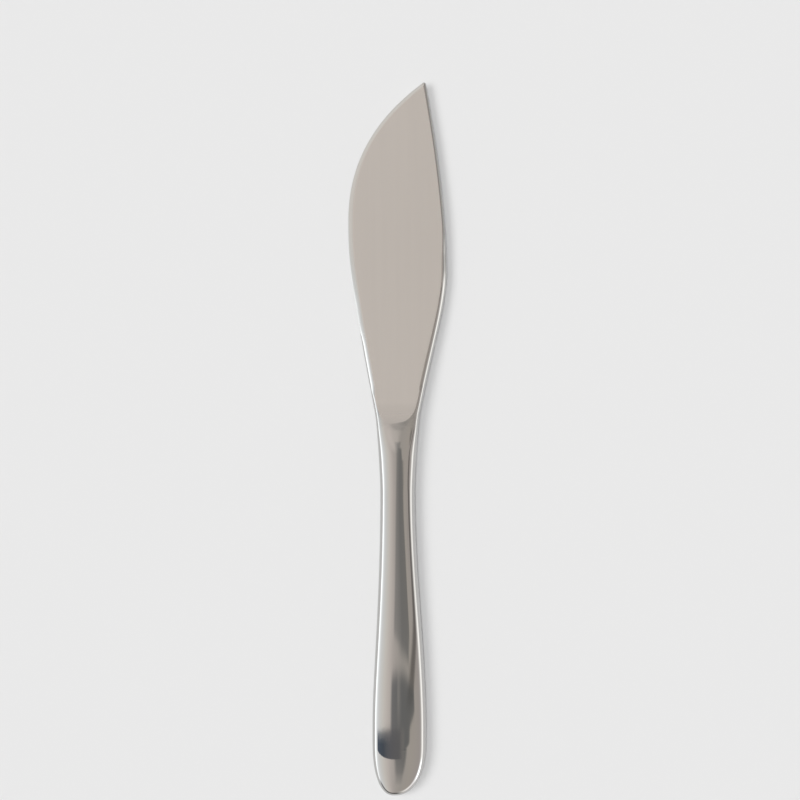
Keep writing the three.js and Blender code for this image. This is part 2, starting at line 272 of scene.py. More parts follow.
GRIND_SPAN = TAPER_Y - RUN_OUT_Y
TIP_SLOPE = (TAPER_THICKNESS - TIP_THICKNESS) / 2 / TAPER_FROM_TIP
GRIND_CURVES = [
    [
        (HEEL_THICKNESS / 2, RUN_OUT_Y),
        (
            HEEL_THICKNESS / 2 - HEEL_GRIND_SLOPE * HEEL_REACH_SHARE * GRIND_SPAN,
            RUN_OUT_Y + HEEL_REACH_SHARE * GRIND_SPAN,
        ),
        (
            TAPER_THICKNESS / 2 + TIP_SLOPE * TAPER_REACH_SHARE * GRIND_SPAN,
            TAPER_Y - TAPER_REACH_SHARE * GRIND_SPAN,
        ),
        (TAPER_THICKNESS / 2, TAPER_Y),
    ],
]

HALVINGS = 44


def bezier(points, t):
    """Point of a cubic curve, as an array of (across, along)."""
    weights = np.array([(1 - t) ** 3, 3 * (1 - t) ** 2 * t, 3 * (1 - t) * t**2, t**3])
    return weights @ np.array(points)


def bezier_heading(points, t):
    """Unit direction of a cubic curve at t."""
    legs = np.diff(np.array(points), axis=0)
    direction = np.array([(1 - t) ** 2, 2 * (1 - t) * t, t**2]) @ legs
    return direction / np.linalg.norm(direction)


def follow(curves, y):
    """How far across a chain of curves stands at a place along the knife, and its heading."""
    points = next((c for c in curves if y <= c[3][1]), curves[-1])
    low, high = 0.0, 1.0
    for _ in range(HALVINGS):
        t = (low + high) / 2
        if bezier(points, t)[1] < y:
            low = t
        else:
            high = t
    return bezier(points, high)[0], bezier_heading(points, high)


def smoothstep(y, start, end):
    """0 before start, 1 after end, and smooth in between."""
    t = min(max((y - start) / (end - start), 0.0), 1.0)
    return t * t * (3 - 2 * t)


def mix(start, end, t):
    return start + (end - start) * t


def eased(stops, y):
    """Value that eases from each (place, value) to the next."""
    if y < stops[0][0]:
        return stops[0][1]
    for (start, first), (end, second) in zip(stops, stops[1:]):
        if y < end:
            return mix(first, second, smoothstep(y, start, end))
    return stops[-1][1]


# Section of the forged bar and of the handle


def butt_share(y, inset):
    """Share of the full section left at a place in the rounded butt."""
    from_round = max(1 - (y - inset) / (BUTT_LENGTH - inset), 0.0)
    return max(1 - from_round**BUTT_POWER, 0.0) ** (1 / BUTT_POWER)


def sides(y, inset=0.0):
    """Edge side and spine side of the bar, or of a smaller bar an inset inside it."""
    if y > HANDLE_LENGTH:
        return follow(EDGE_CURVES, y)[0] + inset, follow(SPINE_CURVES, y)[0] - inset
    share = butt_share(y, inset)
    full = GRIP_HALF_WIDTH if y < GRIP_Y else follow(HANDLE_CURVES, y)[0]
    half = (full - inset) * share
    fade = smoothstep(y, GRIP_Y + OFFSET_START_SHARE * GRIP_SPAN, NECK_Y)
    middle = GRIP_OFFSET * (1 - fade) - BUTT_LEAN * (1 - share)
    return middle - half, middle + half


def half_thickness(y, inset=0.0):
    stops = [
        (GRIP_Y, GRIP_THICKNESS / 2),
        (NECK_END_Y, NECK_THICKNESS / 2),
        (HANDLE_LENGTH, SHOULDER_THICKNESS / 2),
        (HEEL_Y, BLADE_BAR_THICKNESS / 2),
    ]
    return (eased(stops, y) - inset) * butt_share(y, inset)


def section_power(y):
    stops = [
        (NECK_END_Y, GRIP_POWER),
        (HANDLE_LENGTH, SHOULDER_POWER),
        (HANDLE_LENGTH + HEEL_END_FROM_SHOULDER, BLADE_POWER),
    ]
    return eased(stops, y)


def oval(y, angles, inset=0.0):
    """Across and up of the upper half of the section, from the edge side round to the spine side."""
    edge, spine = sides(y, inset)
    roundness = 2 / section_power(y)
    cosines = np.cos(angles)
    across = (edge + spine) / 2 - (spine - edge) / 2 * np.sign(cosines) * abs(cosines) ** roundness
    up = half_thickness(y, inset) * np.clip(np.sin(angles), 0, 1) ** roundness
    return across, up


# Blade: the oval bar cut down by its ground faces and its sharpened bevel


def ground_height(y, across):
    """Height of the ground face, which runs out in the arc of the wheel behind the blade."""
    if y < RUN_OUT_Y:
        lean = math.atan(HEEL_GRIND_SLOPE)
        wheel_y = RUN_OUT_Y + RUN_OUT_RADIUS * math.sin(lean)
        wheel_up = HEEL_THICKNESS / 2 + RUN_OUT_RADIUS * math.cos(lean)
        on_axis = wheel_up - math.sqrt(max(RUN_OUT_RADIUS**2 - (y - wheel_y) ** 2, 0))
    elif y < TAPER_Y:
        on_axis = follow(GRIND_CURVES, y)[0]
    else:
        on_axis = TAPER_THICKNESS / 2 - TIP_SLOPE * (y - TAPER_Y)
    return on_axis + across * math.tan(WEDGE_ANGLE)


# Widths of the rounded sides, square to the outline
EDGE_WIDTHS = [
    (HANDLE_LENGTH, 0.0),
    (HEEL_Y, EDGE_ROUND_WIDTH),
    (EDGE_Y, EDGE_ROUND_WIDTH),
    (BELLY_Y, BELLY_BEVEL_WIDTH),
    (TIP_ZONE_Y, TIP_BEVEL_WIDTH),
]
SPINE_WIDTHS = [
    (HANDLE_LENGTH, 0.0),
    (HEEL_Y, SPINE_ROUND_WIDTH),
    (SPINE_Y, MID_ROUND_WIDTH),
    (BELLY_Y, TIP_ROUND_WIDTH),
]
SPINE_POWERS = [(HEEL_Y, SPINE_HEEL_POWER), (SPINE_Y, SPINE_TIP_POWER)]


def side_height(y, across, curves, widths, power, sharp):
    """Height of a side that rises from the outline until it runs level over the ground face."""
    if y <= HANDLE_LENGTH:
        return np.full_like(across, math.inf)
    outline, heading = follow(curves, y)
    width = eased(widths, y)
    inward = np.clip(abs(across - outline) * heading[1] / width, 0, 1)
    level = ground_height(y, across) + GRIND_STOCK
    slope = mix(ROUND_SLOPE, BEVEL_SLOPE, sharp)
    drop = np.minimum(width * slope, level - EDGE_THICKNESS / 2)
    return level - drop * (1 - (1 - (1 - inward) ** power) ** (1 / power))


def bar_height(y, across, up):
    """Height of the bar with its rounded spine and its sharpened edge, before it is ground flat."""
    sharp = smoothstep(y, EDGE_Y - EDGE_FADE_LENGTH / 2, EDGE_Y + EDGE_FADE_LENGTH / 2)
    edge_power = mix(EDGE_POWER, BEVEL_POWER, sharp)
    edge_side = side_height(y, across, EDGE_CURVES, EDGE_WIDTHS, edge_power, sharp)
    spine_power = eased(SPINE_POWERS, y)
    spine_side = side_height(y, across, SPINE_CURVES, SPINE_WIDTHS, spine_power, 0.0)
    return np.minimum(up, np.minimum(edge_side, spine_side))


# Columns of the blade's skin: up the edge side, over the ground face and down the spine side
EDGE_COLUMNS = 14
FACE_COLUMNS = 30
SPINE_COLUMNS = 14
UPPER_COLUMNS = EDGE_COLUMNS + FACE_COLUMNS + SPINE_COLUMNS
FACE_END = EDGE_COLUMNS + FACE_COLUMNS
PROBES = 1440

# Behind the ground face its columns draw together on the crown of the bar, within this depth
CROWN_DEPTH = 0.25
CROWN_LEAST_SPREAD = 0.01
CROWN_SPREAD = math.pi / 4


def blade_breaks(y):
    """Whether the section is ground flat, and the angles between which its face lies."""
    angles = np.linspace(0, math.pi, PROBES)
    across, up = oval(y, angles)
    over = bar_height(y, across, up) - ground_height(y, across)
    inside = np.flatnonzero(over > 0)
    if len(inside) == 0:
        top = angles[int(np.argmax(over))]
        depth = -float(over.max())
        spread = CROWN_LEAST_SPREAD + CROWN_SPREAD * smoothstep(depth, 0, CROWN_DEPTH)
        return False, top - spread, top + spread

    def crossing(outer, inner):
        share = over[outer] / (over[outer] - over[inner])
        return mix(angles[outer], angles[inner], share)

    first, last = max(inside[0], 1), min(inside[-1], PROBES - 2)
    return True, crossing(first - 1, first), crossing(last + 1, last)


def blade_ring(y):
    """Closed ring of points round the blade, and whether it is ground there."""
    ground, start, end = blade_breaks(y)
    angles = np.concatenate([
        np.linspace(0, start, EDGE_COLUMNS, endpoint=False),
        np.linspace(start, end, FACE_COLUMNS, endpoint=False),
        np.linspace(end, math.pi, SPINE_COLUMNS + 1),
    ])
    across, up = oval(y, angles)
    up = np.minimum(bar_height(y, across, up), ground_height(y, across))
    up[0] = up[-1] = 0
    return ring_of(across, y, up), ground


def ring_of(across, y, up):
    """Upper points and, under them, their mirror image back to the start."""
    upper = np.stack([across, np.full_like(across, y), up], axis=1)
    lower = upper[-2:0:-1] * (1, 1, -1)
    return np.concatenate([upper, lower])


def plain_ring(y, columns, inset=0.0):
    """Oval ring with its points evenly turned."""
    across, up = oval(y, np.linspace(0, math.pi, columns + 1), inset)
    return ring_of(across, y, up)


def tang_ring(y, columns, notch=0.0):
    """Rectangular ring of the tang, cut in by the depth of a notch."""
    half_root = NECK_HALF_WIDTH - SHELL_WALL - 2 * FIT_GAP - CEMENT_SIDE
    half = mix(half_root, half_root * TANG_END_SHARE, (JOINT_Y - y) / TANG_LENGTH) - notch
    thick = NECK_THICKNESS / 2 - SHELL_WALL - 2 * FIT_GAP - CEMENT_CROWN
    angles = np.linspace(0, math.pi, columns + 1)
    square = np.maximum(abs(np.cos(angles)), abs(np.sin(angles)))
    return ring_of(-half * np.cos(angles) / square, y, thick * np.sin(angles) / square)


def spaced(start, end, pitch):
    """Places from start to end, no further apart than the pitch."""
    return list(np.linspace(start, end, max(math.ceil(abs(end - start) / pitch), 1) + 1))


def crowded(start, end, count):
    """Places that crowd towards the end, as on a round nose."""
    return [mix(start, end, math.sin(k / count * math.pi / 2)) for k in range(count + 1)]


# Meshes

SHARP_ANGLE = math.radians(24)
TIP_RINGS = 46
SHOULDER_PITCH = 0.25
BLADE_PITCH = 0.5
BUTT_RINGS = 40
HANDLE_PITCH = 0.8
HANDLE_COLUMNS = 72
FLAT_SINE = 1e-9

# Points nearer than this, in metres, are one
MERGE_DISTANCE = 2e-7

# A face that looks this much up or down is on the flat rim where the halves meet
RIM_NORMAL = 0.9

# Places of the blade's finishes in its list of materials
POLISH, SATIN, HONED = range(3)


def make_piece(name, points, faces, materials, face_materials=None, sharp=()):
    """Smooth mesh object in the frame, from points in the knife's own millimetres."""
    placed = (np.array(points) + (SHIFT_ACROSS, SHIFT_ALONG, MIDDLE_UP)) * MM
    mesh = bpy.data.meshes.new(name)
    mesh.from_pydata(placed.tolist(), [], faces)
    if face_materials is not None:
        mesh.polygons.foreach_set("material_index", face_materials)
    work = bmesh.new()
    work.from_mesh(mesh)
    bmesh.ops.remove_doubles(work, verts=work.verts, dist=MERGE_DISTANCE)
    work.to_mesh(mesh)
    work.free()
    for material in materials:
        mesh.materials.append(material)
    mesh.shade_smooth()
    mesh.set_sharp_from_angle(angle=SHARP_ANGLE)
    if sharp:
        wanted = set(sharp)
        for edge in mesh.edges:
            if tuple(sorted(edge.vertices)) in wanted:
                edge.use_edge_sharp = True
    piece = bpy.data.objects.new(name, mesh)
    bpy.context.scene.collection.objects.link(piece)
    return piece


def skin_faces(rings, count):
    """Quads between successive closed rings, facing outwards where the rings run to the tip."""
    return [
        (k * count + a, k * count + b, (k + 1) * count + b, (k + 1) * count + a)
        for k in range(rings - 1)
        for a, b in ((side, (side + 1) % count) for side in range(count))
    ]


def make_blade(polish, satin, honed):
    """Blade, bolster, spigot and notched tang as one closed skin."""
    columns = UPPER_COLUMNS
    notch_end = JOINT_Y - NOTCH_FROM_JOINT - NOTCH_LENGTH / 2
    notch_start = notch_end + NOTCH_LENGTH
    rings = [
        tang_ring(TANG_END_Y, columns),
        tang_ring(notch_end, columns),
        tang_ring(notch_end, columns, NOTCH_DEPTH),
        tang_ring(notch_start, columns, NOTCH_DEPTH),
        tang_ring(notch_start, columns),
        tang_ring(SPIGOT_END_Y, columns),
        plain_ring(SPIGOT_END_Y, columns, SHELL_WALL + FIT_GAP),
        plain_ring(JOINT_Y, columns, SHELL_WALL + FIT_GAP),
    ]
    hidden = len(rings)
    places = [
        *spaced(JOINT_Y, RUN_OUT_Y, SHOULDER_PITCH),
        *spaced(RUN_OUT_Y, TIP_ZONE_Y, BLADE_PITCH)[1:],
        *crowded(TIP_ZONE_Y, OVERALL_LENGTH, TIP_RINGS)[1:-1],
    ]
    kinds = [(False, False)] * hidden
    for y in places:
        ring, ground = blade_ring(y)
        rings.append(ring)
        kinds.append((ground, y > EDGE_Y))
    count = 2 * columns
    faces, finishes, sharp = [tuple(reversed(range(count)))], [POLISH], []
    for k in range(len(rings) - 1):
        ground = kinds[k][0] and kinds[k + 1][0]
        bevelled = kinds[k][1] and kinds[k + 1][1]
        for side in range(count):
            a, b = k * count + side, k * count + (side + 1) % count
            faces.append((a, b, b + count, a + count))
            column = side if side < columns else count - 1 - side
            on_face = ground and EDGE_COLUMNS <= column < FACE_END
            on_bevel = bevelled and column < EDGE_COLUMNS
            finishes.append(SATIN if on_face else HONED if on_bevel else POLISH)
        if ground:
            crests = (EDGE_COLUMNS, FACE_END, count - EDGE_COLUMNS, count - FACE_END)
            sharp += [(k * count + c, (k + 1) * count + c) for c in crests]
    last = (len(rings) - 1) * count
    tip = len(rings) * count
    faces += [(last + side, last + (side + 1) % count, tip) for side in range(count)]
    finishes += [POLISH] * count
    points = np.concatenate([*rings, [(TIP_REACH, OVERALL_LENGTH, 0.0)]])
    return make_piece("knife_blade", points, faces, [polish, satin, honed], finishes, sharp)


def make_handle_half(name, side, material):
    """Pressed half of the hollow handle: its outer skin, its inner skin and the rim between."""
    round_outer = crowded(BUTT_LENGTH, 0.0, BUTT_RINGS)[::-1]
    round_inner = crowded(BUTT_LENGTH, SHELL_WALL, BUTT_RINGS)[::-1]
    straight = spaced(BUTT_LENGTH, MOUTH_Y, HANDLE_PITCH)[1:]
    angles = np.linspace(0, math.pi, HANDLE_COLUMNS + 1)
    rings = []
    for outer_y, inner_y in zip([*round_outer, *straight], [*round_inner, *straight]):
        for y, turn, inset in ((outer_y, angles, 0.0), (inner_y, angles[::-1], SHELL_WALL)):
            across, up = oval(y, turn, inset)
            up[np.sin(turn) < FLAT_SINE] = 0
            rings.append(np.stack([across, np.full_like(across, y), side * up], axis=1))
    count = 2 * (HANDLE_COLUMNS + 1)
    points = np.concatenate(rings)
    faces = skin_faces(len(rings) // 2, count)
    last = len(points) - count
    faces += [
        (last + j, last + j + 1, last + count - 2 - j, last + count - 1 - j)
        for j in range(HANDLE_COLUMNS)
    ]
    if side < 0:
        faces = [face[::-1] for face in faces]
    piece = make_piece(name, points, faces, [material])
    level_seam_normals(piece)
    return piece


def level_seam_normals(piece):
    """The outer skin meets the other half in one smooth curve, as it does once ground flush."""
    mesh = piece.data
    seam_up = MIDDLE_UP * MM
    normals = [(0.0, 0.0, 0.0)] * len(mesh.loops)
    for face in mesh.polygons:
        outward = face.normal.z * (face.center.z - seam_up) > 0 and abs(face.normal.z) < RIM_NORMAL
        for loop in face.loop_indices:
            up = mesh.vertices[mesh.loops[loop].vertex_index].co.z
            if outward and abs(up - seam_up) < MERGE_DISTANCE:
                level = Vector((*mesh.corner_normals[loop].vector.xy, 0.0))
                normals[loop] = tuple(level.normalized())
    mesh.normals_split_custom_set(normals)


def make_braze(material):
    """Thin oval ring between the mouth of the handle and the bolster."""
    count = 2 * UPPER_COLUMNS
    outer = [plain_ring(y, UPPER_COLUMNS) for y in (MOUTH_Y, JOINT_Y)]
    inner = [plain_ring(y, UPPER_COLUMNS, SHELL_WALL) for y in (JOINT_Y, MOUTH_Y)]
    rings = [*outer, *inner, outer[0]]
    faces = [
        tuple(index % (4 * count) for index in face) for face in skin_faces(len(rings), count)
    ]
    return make_piece("braze_line", np.concatenate(rings[:4]), faces, [material])


# Finishes, written as sums of sockets


class Socket:
    """Output of a node that can stand in a formula."""

    def __init__(self, finish, output):
        self.finish = finish
        self.output = output

    def __add__(self, other):
        return self.finish.math("ADD", self, other)

    def __sub__(self, other):
        return self.finish.math("SUBTRACT", self, other)

    def __rsub__(self, other):
        return self.finish.math("SUBTRACT", other, self)

    def __mul__(self, other):
        return self.finish.math("MULTIPLY", self, other)

    __radd__ = __add__
    __rmul__ = __mul__

    def __truediv__(self, other):
        return self.finish.math("DIVIDE", self, other)


class Finish:
    """A procedural finish: a node tree, and one method for each way of adding to it."""

    def __init__(self, owner):
        owner.use_nodes = True
        self.owner = owner
        self.tree = owner.node_tree
        self.tree.nodes.clear()

    def node(self, kind, settings=None, inputs=None, output=0):
        made = self.tree.nodes.new("ShaderNode" + kind)
        for name, value in (settings or {}).items():
            if name == "stops":
                self.set_stops(made.color_ramp.elements, value)
            else:
                setattr(made, name, value)
        for name, value in (inputs or {}).items():
            shown = [s for s in made.inputs if s.enabled]
            by_place = isinstance(name, int)
            socket = shown[name] if by_place else next(s for s in shown if s.name == name)
            if isinstance(value, Socket):
                self.tree.links.new(value.output, socket)
            else:
                socket.default_value = value
        return Socket(self, made.outputs[output]) if made.outputs else None

    def set_stops(self, elements, stops):
        while len(elements) < len(stops):
            elements.new(1.0)
        for element, (place, colour) in zip(elements, stops):
            element.position = place
            element.color = colour

    def math(self, operation, *values):
        return self.node("Math", {"operation": operation}, dict(enumerate(values)))

    def clamp(self, value):
        return self.node("Clamp", inputs={0: value})

    def colour(self, share, first, second):
        """Colour between two colours."""
        inputs = {"Factor": share, "A": first, "B": second}
        return self.node("Mix", {"data_type": "RGBA"}, inputs, output=2)

    def place(self):
        """Place on the knife, in metres in the frame."""
        return self.node("TexCoord", output="Object")

    def along(self):
        """Place along the knife, in metres in the frame."""
        return self.node("SeparateXYZ", inputs={0: self.place()}, output=1)

    def noise(self, cells, detail=2.0, roughness=0.5):
        """Noise with that many cells per metre across, along and up."""
        point = self.node("Mapping", inputs={"Vector": self.place(), "Scale": cells})
        inputs = {"Vector": point, "Scale": 1.0, "Detail": detail, "Roughness": roughness}
        return self.node("TexNoise", inputs=inputs)

    def bump(self, height, depth):
        """Normal of a surface raised by height times depth, in metres."""
        return self.node("Bump", inputs={"Height": height, "Distance": depth, "Strength": 1.0})

    def surface(self, **sockets):
        inputs = {name.replace("_", " "): value for name, value in sockets.items()}
        shader = self.node("BsdfPrincipled", inputs=inputs)
        self.node("OutputMaterial", inputs={"Surface": shader})
        return self.owner


def finish(name):
    return Finish(bpy.data.materials.new(name))


# Where the steel is rubbed down or polished up beside the shoulder line, in metres
RUN_OUT_PLACE = (RUN_OUT_Y + SHIFT_ALONG) * MM
DULLED_BELOW_RUN_OUT = 0.0036
DULLED_REACH = 0.0048
DULLED_FADE = 0.0018
BUFFED_LENGTH = 0.006

# Grain of each finish: cells per metre across, along and up
HAIRLINES = (9000.0, 60.0, 9000.0)
CLOUDS = (160.0, 40.0, 160.0)
GRINDING = (6000.0, 90.0, 6000.0)
GRINDING_STREAKS = (420.0, 14.0, 420.0)
STONING = (9000.0, 900.0, 9000.0)
BRAZE_GRAIN = (4000.0, 4000.0, 4000.0)
CEMENT_GRAIN = (2500.0, 2500.0, 2500.0)

# Depth of the grain, in metres
HAIRLINE_DEPTH = 1.5e-6
GRINDING_DEPTH = 4e-6
CEMENT_DEPTH = 1e-4

# The darkest and lightest tone of each finish
POLISH_TONES = (0.52, 0.515, 0.505, 1), (0.56, 0.555, 0.545, 1)
SATIN_TONES = (0.75, 0.73, 0.707, 1), (0.785, 0.765, 0.741, 1)
HONED_TONES = (0.62, 0.615, 0.60, 1), (0.68, 0.68, 0.67, 1)
BRAZE_TONES = (0.53, 0.525, 0.51, 1), (0.56, 0.55, 0.535, 1)
CEMENT_TONES = (0.20, 0.18, 0.16, 1), (0.38, 0.35, 0.31, 1)

# Roughness of each finish, and how much its grain adds
POLISH_ROUGHNESS = 0.02
HAIRLINE_ROUGHNESS = 0.015
CLOUD_ROUGHNESS = 0.01
DULLED_ROUGHNESS = 0.15
SATIN_ROUGHNESS = 0.40
SATIN_GRAIN_ROUGHNESS = 0.08
BUFFED_ROUGHNESS = -0.3
HONED_ROUGHNESS = 0.26
HONED_GRAIN_ROUGHNESS = 0.1
BRAZE_ROUGHNESS = 0.03
BRAZE_GRAIN_ROUGHNESS = 0.02
CEMENT_ROUGHNESS = 0.85


def polished_steel():
    """Mirror polish with fine hairlines along the knife, dulled by the wheel at the shoulder."""
    f = finish("polished_steel")
    hairlines = f.noise(HAIRLINES, detail=3.0, roughness=0.6)
    clouds = f.noise(CLOUDS)
    away = f.math("ABSOLUTE", f.along() - (RUN_OUT_PLACE - DULLED_BELOW_RUN_OUT))
    dulled = f.clamp((DULLED_REACH - away) / DULLED_FADE)
    rough = POLISH_ROUGHNESS + HAIRLINE_ROUGHNESS * hairlines + CLOUD_ROUGHNESS * clouds
    return f.surface(
        Base_Color=f.colour(clouds, *POLISH_TONES),
        Metallic=1.0,
        Roughness=rough + DULLED_ROUGHNESS * dulled,
        Normal=f.bump(hairlines, HAIRLINE_DEPTH),
    )


def satin_steel():
    """Fine matte grinding along the blade, buffed towards the polish where it runs out."""
    f = finish("satin_steel")
    grain = f.noise(GRINDING, detail=4.0, roughness=0.6)
    streaks = f.noise(GRINDING_STREAKS, detail=3.0, roughness=0.55)
    buffed = f.clamp((RUN_OUT_PLACE - f.along()) / BUFFED_LENGTH)
    ground_roughness = SATIN_ROUGHNESS + SATIN_GRAIN_ROUGHNESS * grain
    return f.surface(
        Base_Color=f.colour(buffed, f.colour(streaks, *SATIN_TONES), POLISH_TONES[1]),
        Metallic=1.0,
        Roughness=f.math("MULTIPLY_ADD", buffed, BUFFED_ROUGHNESS, ground_roughness),
        Normal=f.bump(grain, GRINDING_DEPTH),
    )


def honed_steel():
    """Finely stoned bevel of the cutting edge."""
    f = finish("honed_steel")
    grain = f.noise(STONING, detail=3.0)
    rough = HONED_ROUGHNESS + HONED_GRAIN_ROUGHNESS * grain
    return f.surface(Base_Color=f.colour(grain, *HONED_TONES), Metallic=1.0, Roughness=rough)


def braze_metal():
    """Silver braze, polished with the steel beside it."""
    f = finish("silver_braze")
    grain = f.noise(BRAZE_GRAIN)
    rough = BRAZE_ROUGHNESS + BRAZE_GRAIN_ROUGHNESS * grain
    return f.surface(Base_Color=f.colour(grain, *BRAZE_TONES), Metallic=1.0, Roughness=rough)


def set_cement():
    """Grey, gritty cement that holds the tang."""
    f = finish("set_cement")
    grain = f.noise(CEMENT_GRAIN, detail=5.0, roughness=0.7)
    return f.surface(
        Base_Color=f.colour(grain, *CEMENT_TONES),
        Roughness=CEMENT_ROUGHNESS,
        Normal=f.bump(grain, CEMENT_DEPTH),
    )


# Camera, straight above the knife

FIELD = 230.0
LENS = 125.0
SENSOR = 36.0

# Middle of the picture in the frame
AIM_ACROSS = 0.70
AIM_ALONG = 11.18

camera_data = bpy.data.cameras.new("camera")
camera_data.sensor_width = SENSOR
camera_data.lens = LENS
camera = bpy.data.objects.new("camera", camera_data)
distance = FIELD * LENS / SENSOR
camera.location = Vector((AIM_ACROSS, AIM_ALONG, MIDDLE_UP + distance)) * MM
bpy.context.scene.collection.objects.link(camera)
bpy.context.scene.camera = camera

# Pieces

polish, satin, honed = polished_steel(), satin_steel(), honed_steel()
blade = make_blade(polish, satin, honed)
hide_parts("blade")
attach(blade, "root")

for name, side in (("handle_half_upper", 1), ("handle_half_lower", -1)):
    half = make_handle_half(name, side, polish)
    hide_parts(name.replace("half", "shell"))
    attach(half, "root")

braze = make_braze(braze_metal())
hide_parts("braze_ring")
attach(braze, "root")

cement = frame["nodes"]["tang_cement"].data
cement.materials.clear()
cement.materials.append(set_cement())

# Stage

# Half the side of the table, in metres
TABLE_HALF_SIDE = 2.0
TABLE_WHITE = (0.80, 0.80, 0.80, 1)
TABLE_ROUGHNESS = 0.8

low, high = -TABLE_HALF_SIDE, TABLE_HALF_SIDE
corners = [(low, low, 0), (high, low, 0), (high, high, 0), (low, high, 0)]
floor_mesh = bpy.data.meshes.new("table")
floor_mesh.from_pydata(corners, [], [(0, 1, 2, 3)])
floor = bpy.data.objects.new("table", floor_mesh)
bpy.context.scene.collection.objects.link(floor)
floor_mesh.materials.append(
    finish("white_table").surface(Base_Color=TABLE_WHITE, Roughness=TABLE_ROUGHNESS)
)

# Room that the polish mirrors

# The direction of a ray is in degrees from straight up: "across" towards the spine side of the
# knife, and "down" towards its butt. A list of (place, value) pairs is followed in straight lines,
# and a share is how much of the light a thing takes away.

# Walls and ceiling, from the edge side over the top to the spine side
WALL_REACH = 110
WALLS = [
    (-110, (1.80, 1.86, 1.90)),
    (-88, (2.20, 2.28, 2.32)),
    (-78, (1.95, 2.02, 2.06)),
    (-70, (1.42, 1.46, 1.48)),
    (-62, (1.14, 1.16, 1.17)),
    (-54, (1.05, 1.05, 1.05)),
    (-44, (1.00, 0.99, 0.96)),
    (-30, (0.95, 0.90, 0.84)),
    (-18, (0.84, 0.77, 0.72)),
    (-9, (0.70, 0.64, 0.60)),
    (3, (0.56, 0.52, 0.48)),
    (20, (0.58, 0.53, 0.48)),
    (50, (0.56, 0.51, 0.48)),
    (59, (0.60, 0.56, 0.54)),
    (68, (1.24, 1.21, 1.17)),
    (76, (1.95, 1.92, 1.86)),
    (84, (1.20, 1.19, 1.16)),
    (92, (0.70, 0.69, 0.67)),
    (110, (0.50, 0.49, 0.48)),
]

# Blue-black screen whose two long borders bow, which the butt mirrors
SCREEN_ACROSS = (-62, 3)
SCREEN_DOWN = (6.74, 13.3)
SCREEN_BOW = 0.00041
SCREEN_FAR_BOW_SHARE = 0.85
SCREEN_SHARES = [(-30, 0.86), (0, 0.66)]

# Long dark curtain, which the neck and the waist of the grip mirror
CURTAIN_DOWN = (-5.9, 4.8)
CURTAIN_EDGE_SIDE = [(1.2, -1.5), (4.2, -8), (4.4, -8), (4.6, 0)]
CURTAIN_SPINE_SIDE = [(-4.6, 2), (-3.2, 6), (1.2, 10), (2.2, 22), (3.8, 22), (4.5, 17)]
CURTAIN_SHARES = [(-2, 0.38), (4, 0.49)]

# Dark stand below it, with a gap between its two legs, and the tapered foot under the stand
STAND_DOWN = (5.3, 9.5)
STAND_EDGE_SIDE = -11
STAND_SPINE_SIDE = [(6.2, 29), (6.8, 15), (7, 15), (8.5, 9)]
STAND_SHARE = 0.58
GAP_ACROSS = (-1.5, 0.5)
GAP_SHARES = [(6, 0.3), (7, 0)]
FOOT_EDGE_SIDE = [(10, -5), (26, -3)]
FOOT_SPINE_SIDE = [(10, 9), (26, 5)]
FOOT_SHARES = [(9, 0), (10, 0.54), (26, 0.34)]
FOOT_FADE = [(22, 1), (40, 0)]

# Rail that leans away from the spine side, and the brace that meets its upper end
RAIL_MIDDLE = [(0.5, 57.75), (2.5, 48.75), (6.3, 12.65)]
RAIL_HALF_WIDTH = 6.5
RAIL_DOWN = (0.8, 6)
RAIL_SHARE = 0.6
BRACE_FOOT = 33
BRACE_LEAN = 3
BRACE_HALF_WIDTH = 2.2
BRACE_DOWN = (-4, 1.5)
BRACE_SHARE = 0.42

# Dimmer parts of the room: the far wall on either side, and the near corner on the edge side
FAR_EDGE_ACROSS = [(-50, 1), (-30, 0)]
FAR_EDGE_SHARES = [(-10, 0.3), (4, 0)]
FAR_SPINE_ACROSS = [(54, 0), (62, 1)]
FAR_SPINE_SHARES = [(-7, 0.62), (2, 0)]
CORNER_FROM_ZENITH = [(72, 0), (80, 1)]
CORNER_ACROSS = [(0, 1), (20, 0)]
CORNER_SHARES = [(40, 0), (52, 0.85)]

# Brighter parts: the far ceiling, and a white strip low in the near corner on the spine side
GLOW_DOWN = [(-4.5, 0.26), (-1.5, 0)]
GLOW_ACROSS = [(-24, 0), (-8, 1), (-0.4, 1), (1.2, 0)]
STRIP_FROM_ZENITH = (66, 84)
STRIP_ACROSS = [(0, 0), (30, 1)]
STRIP_DOWN = [(20, 0), (40, 1.7)]

# Red, green and blue of the screen's and the gear's share, and of the strip's light
SCREEN_TINT = (1.03, 1.0, 0.95)
GEAR_TINT = (1.05, 1.0, 0.95)
STRIP_TINT = (0.9, 1.0, 1.1)

# Width of the soft border of each thing, in degrees
SCREEN_LONG_BORDER = 0.04
SCREEN_END_BORDER = 6
CURTAIN_LONG_BORDER = 3.5
CURTAIN_END_BORDER = 0.4
STAND_LONG_BORDER = 4
STAND_END_BORDER = 0.4
GAP_BORDER = 1.2
RAIL_LONG_BORDER = 5
BRACE_LONG_BORDER = 1.5
RAIL_END_BORDER = 0.6
STRIP_BORDER = 8

# Keeps the root of 1 - z * z above zero for a ray straight up
JUST_OVER_ONE = 1.000001


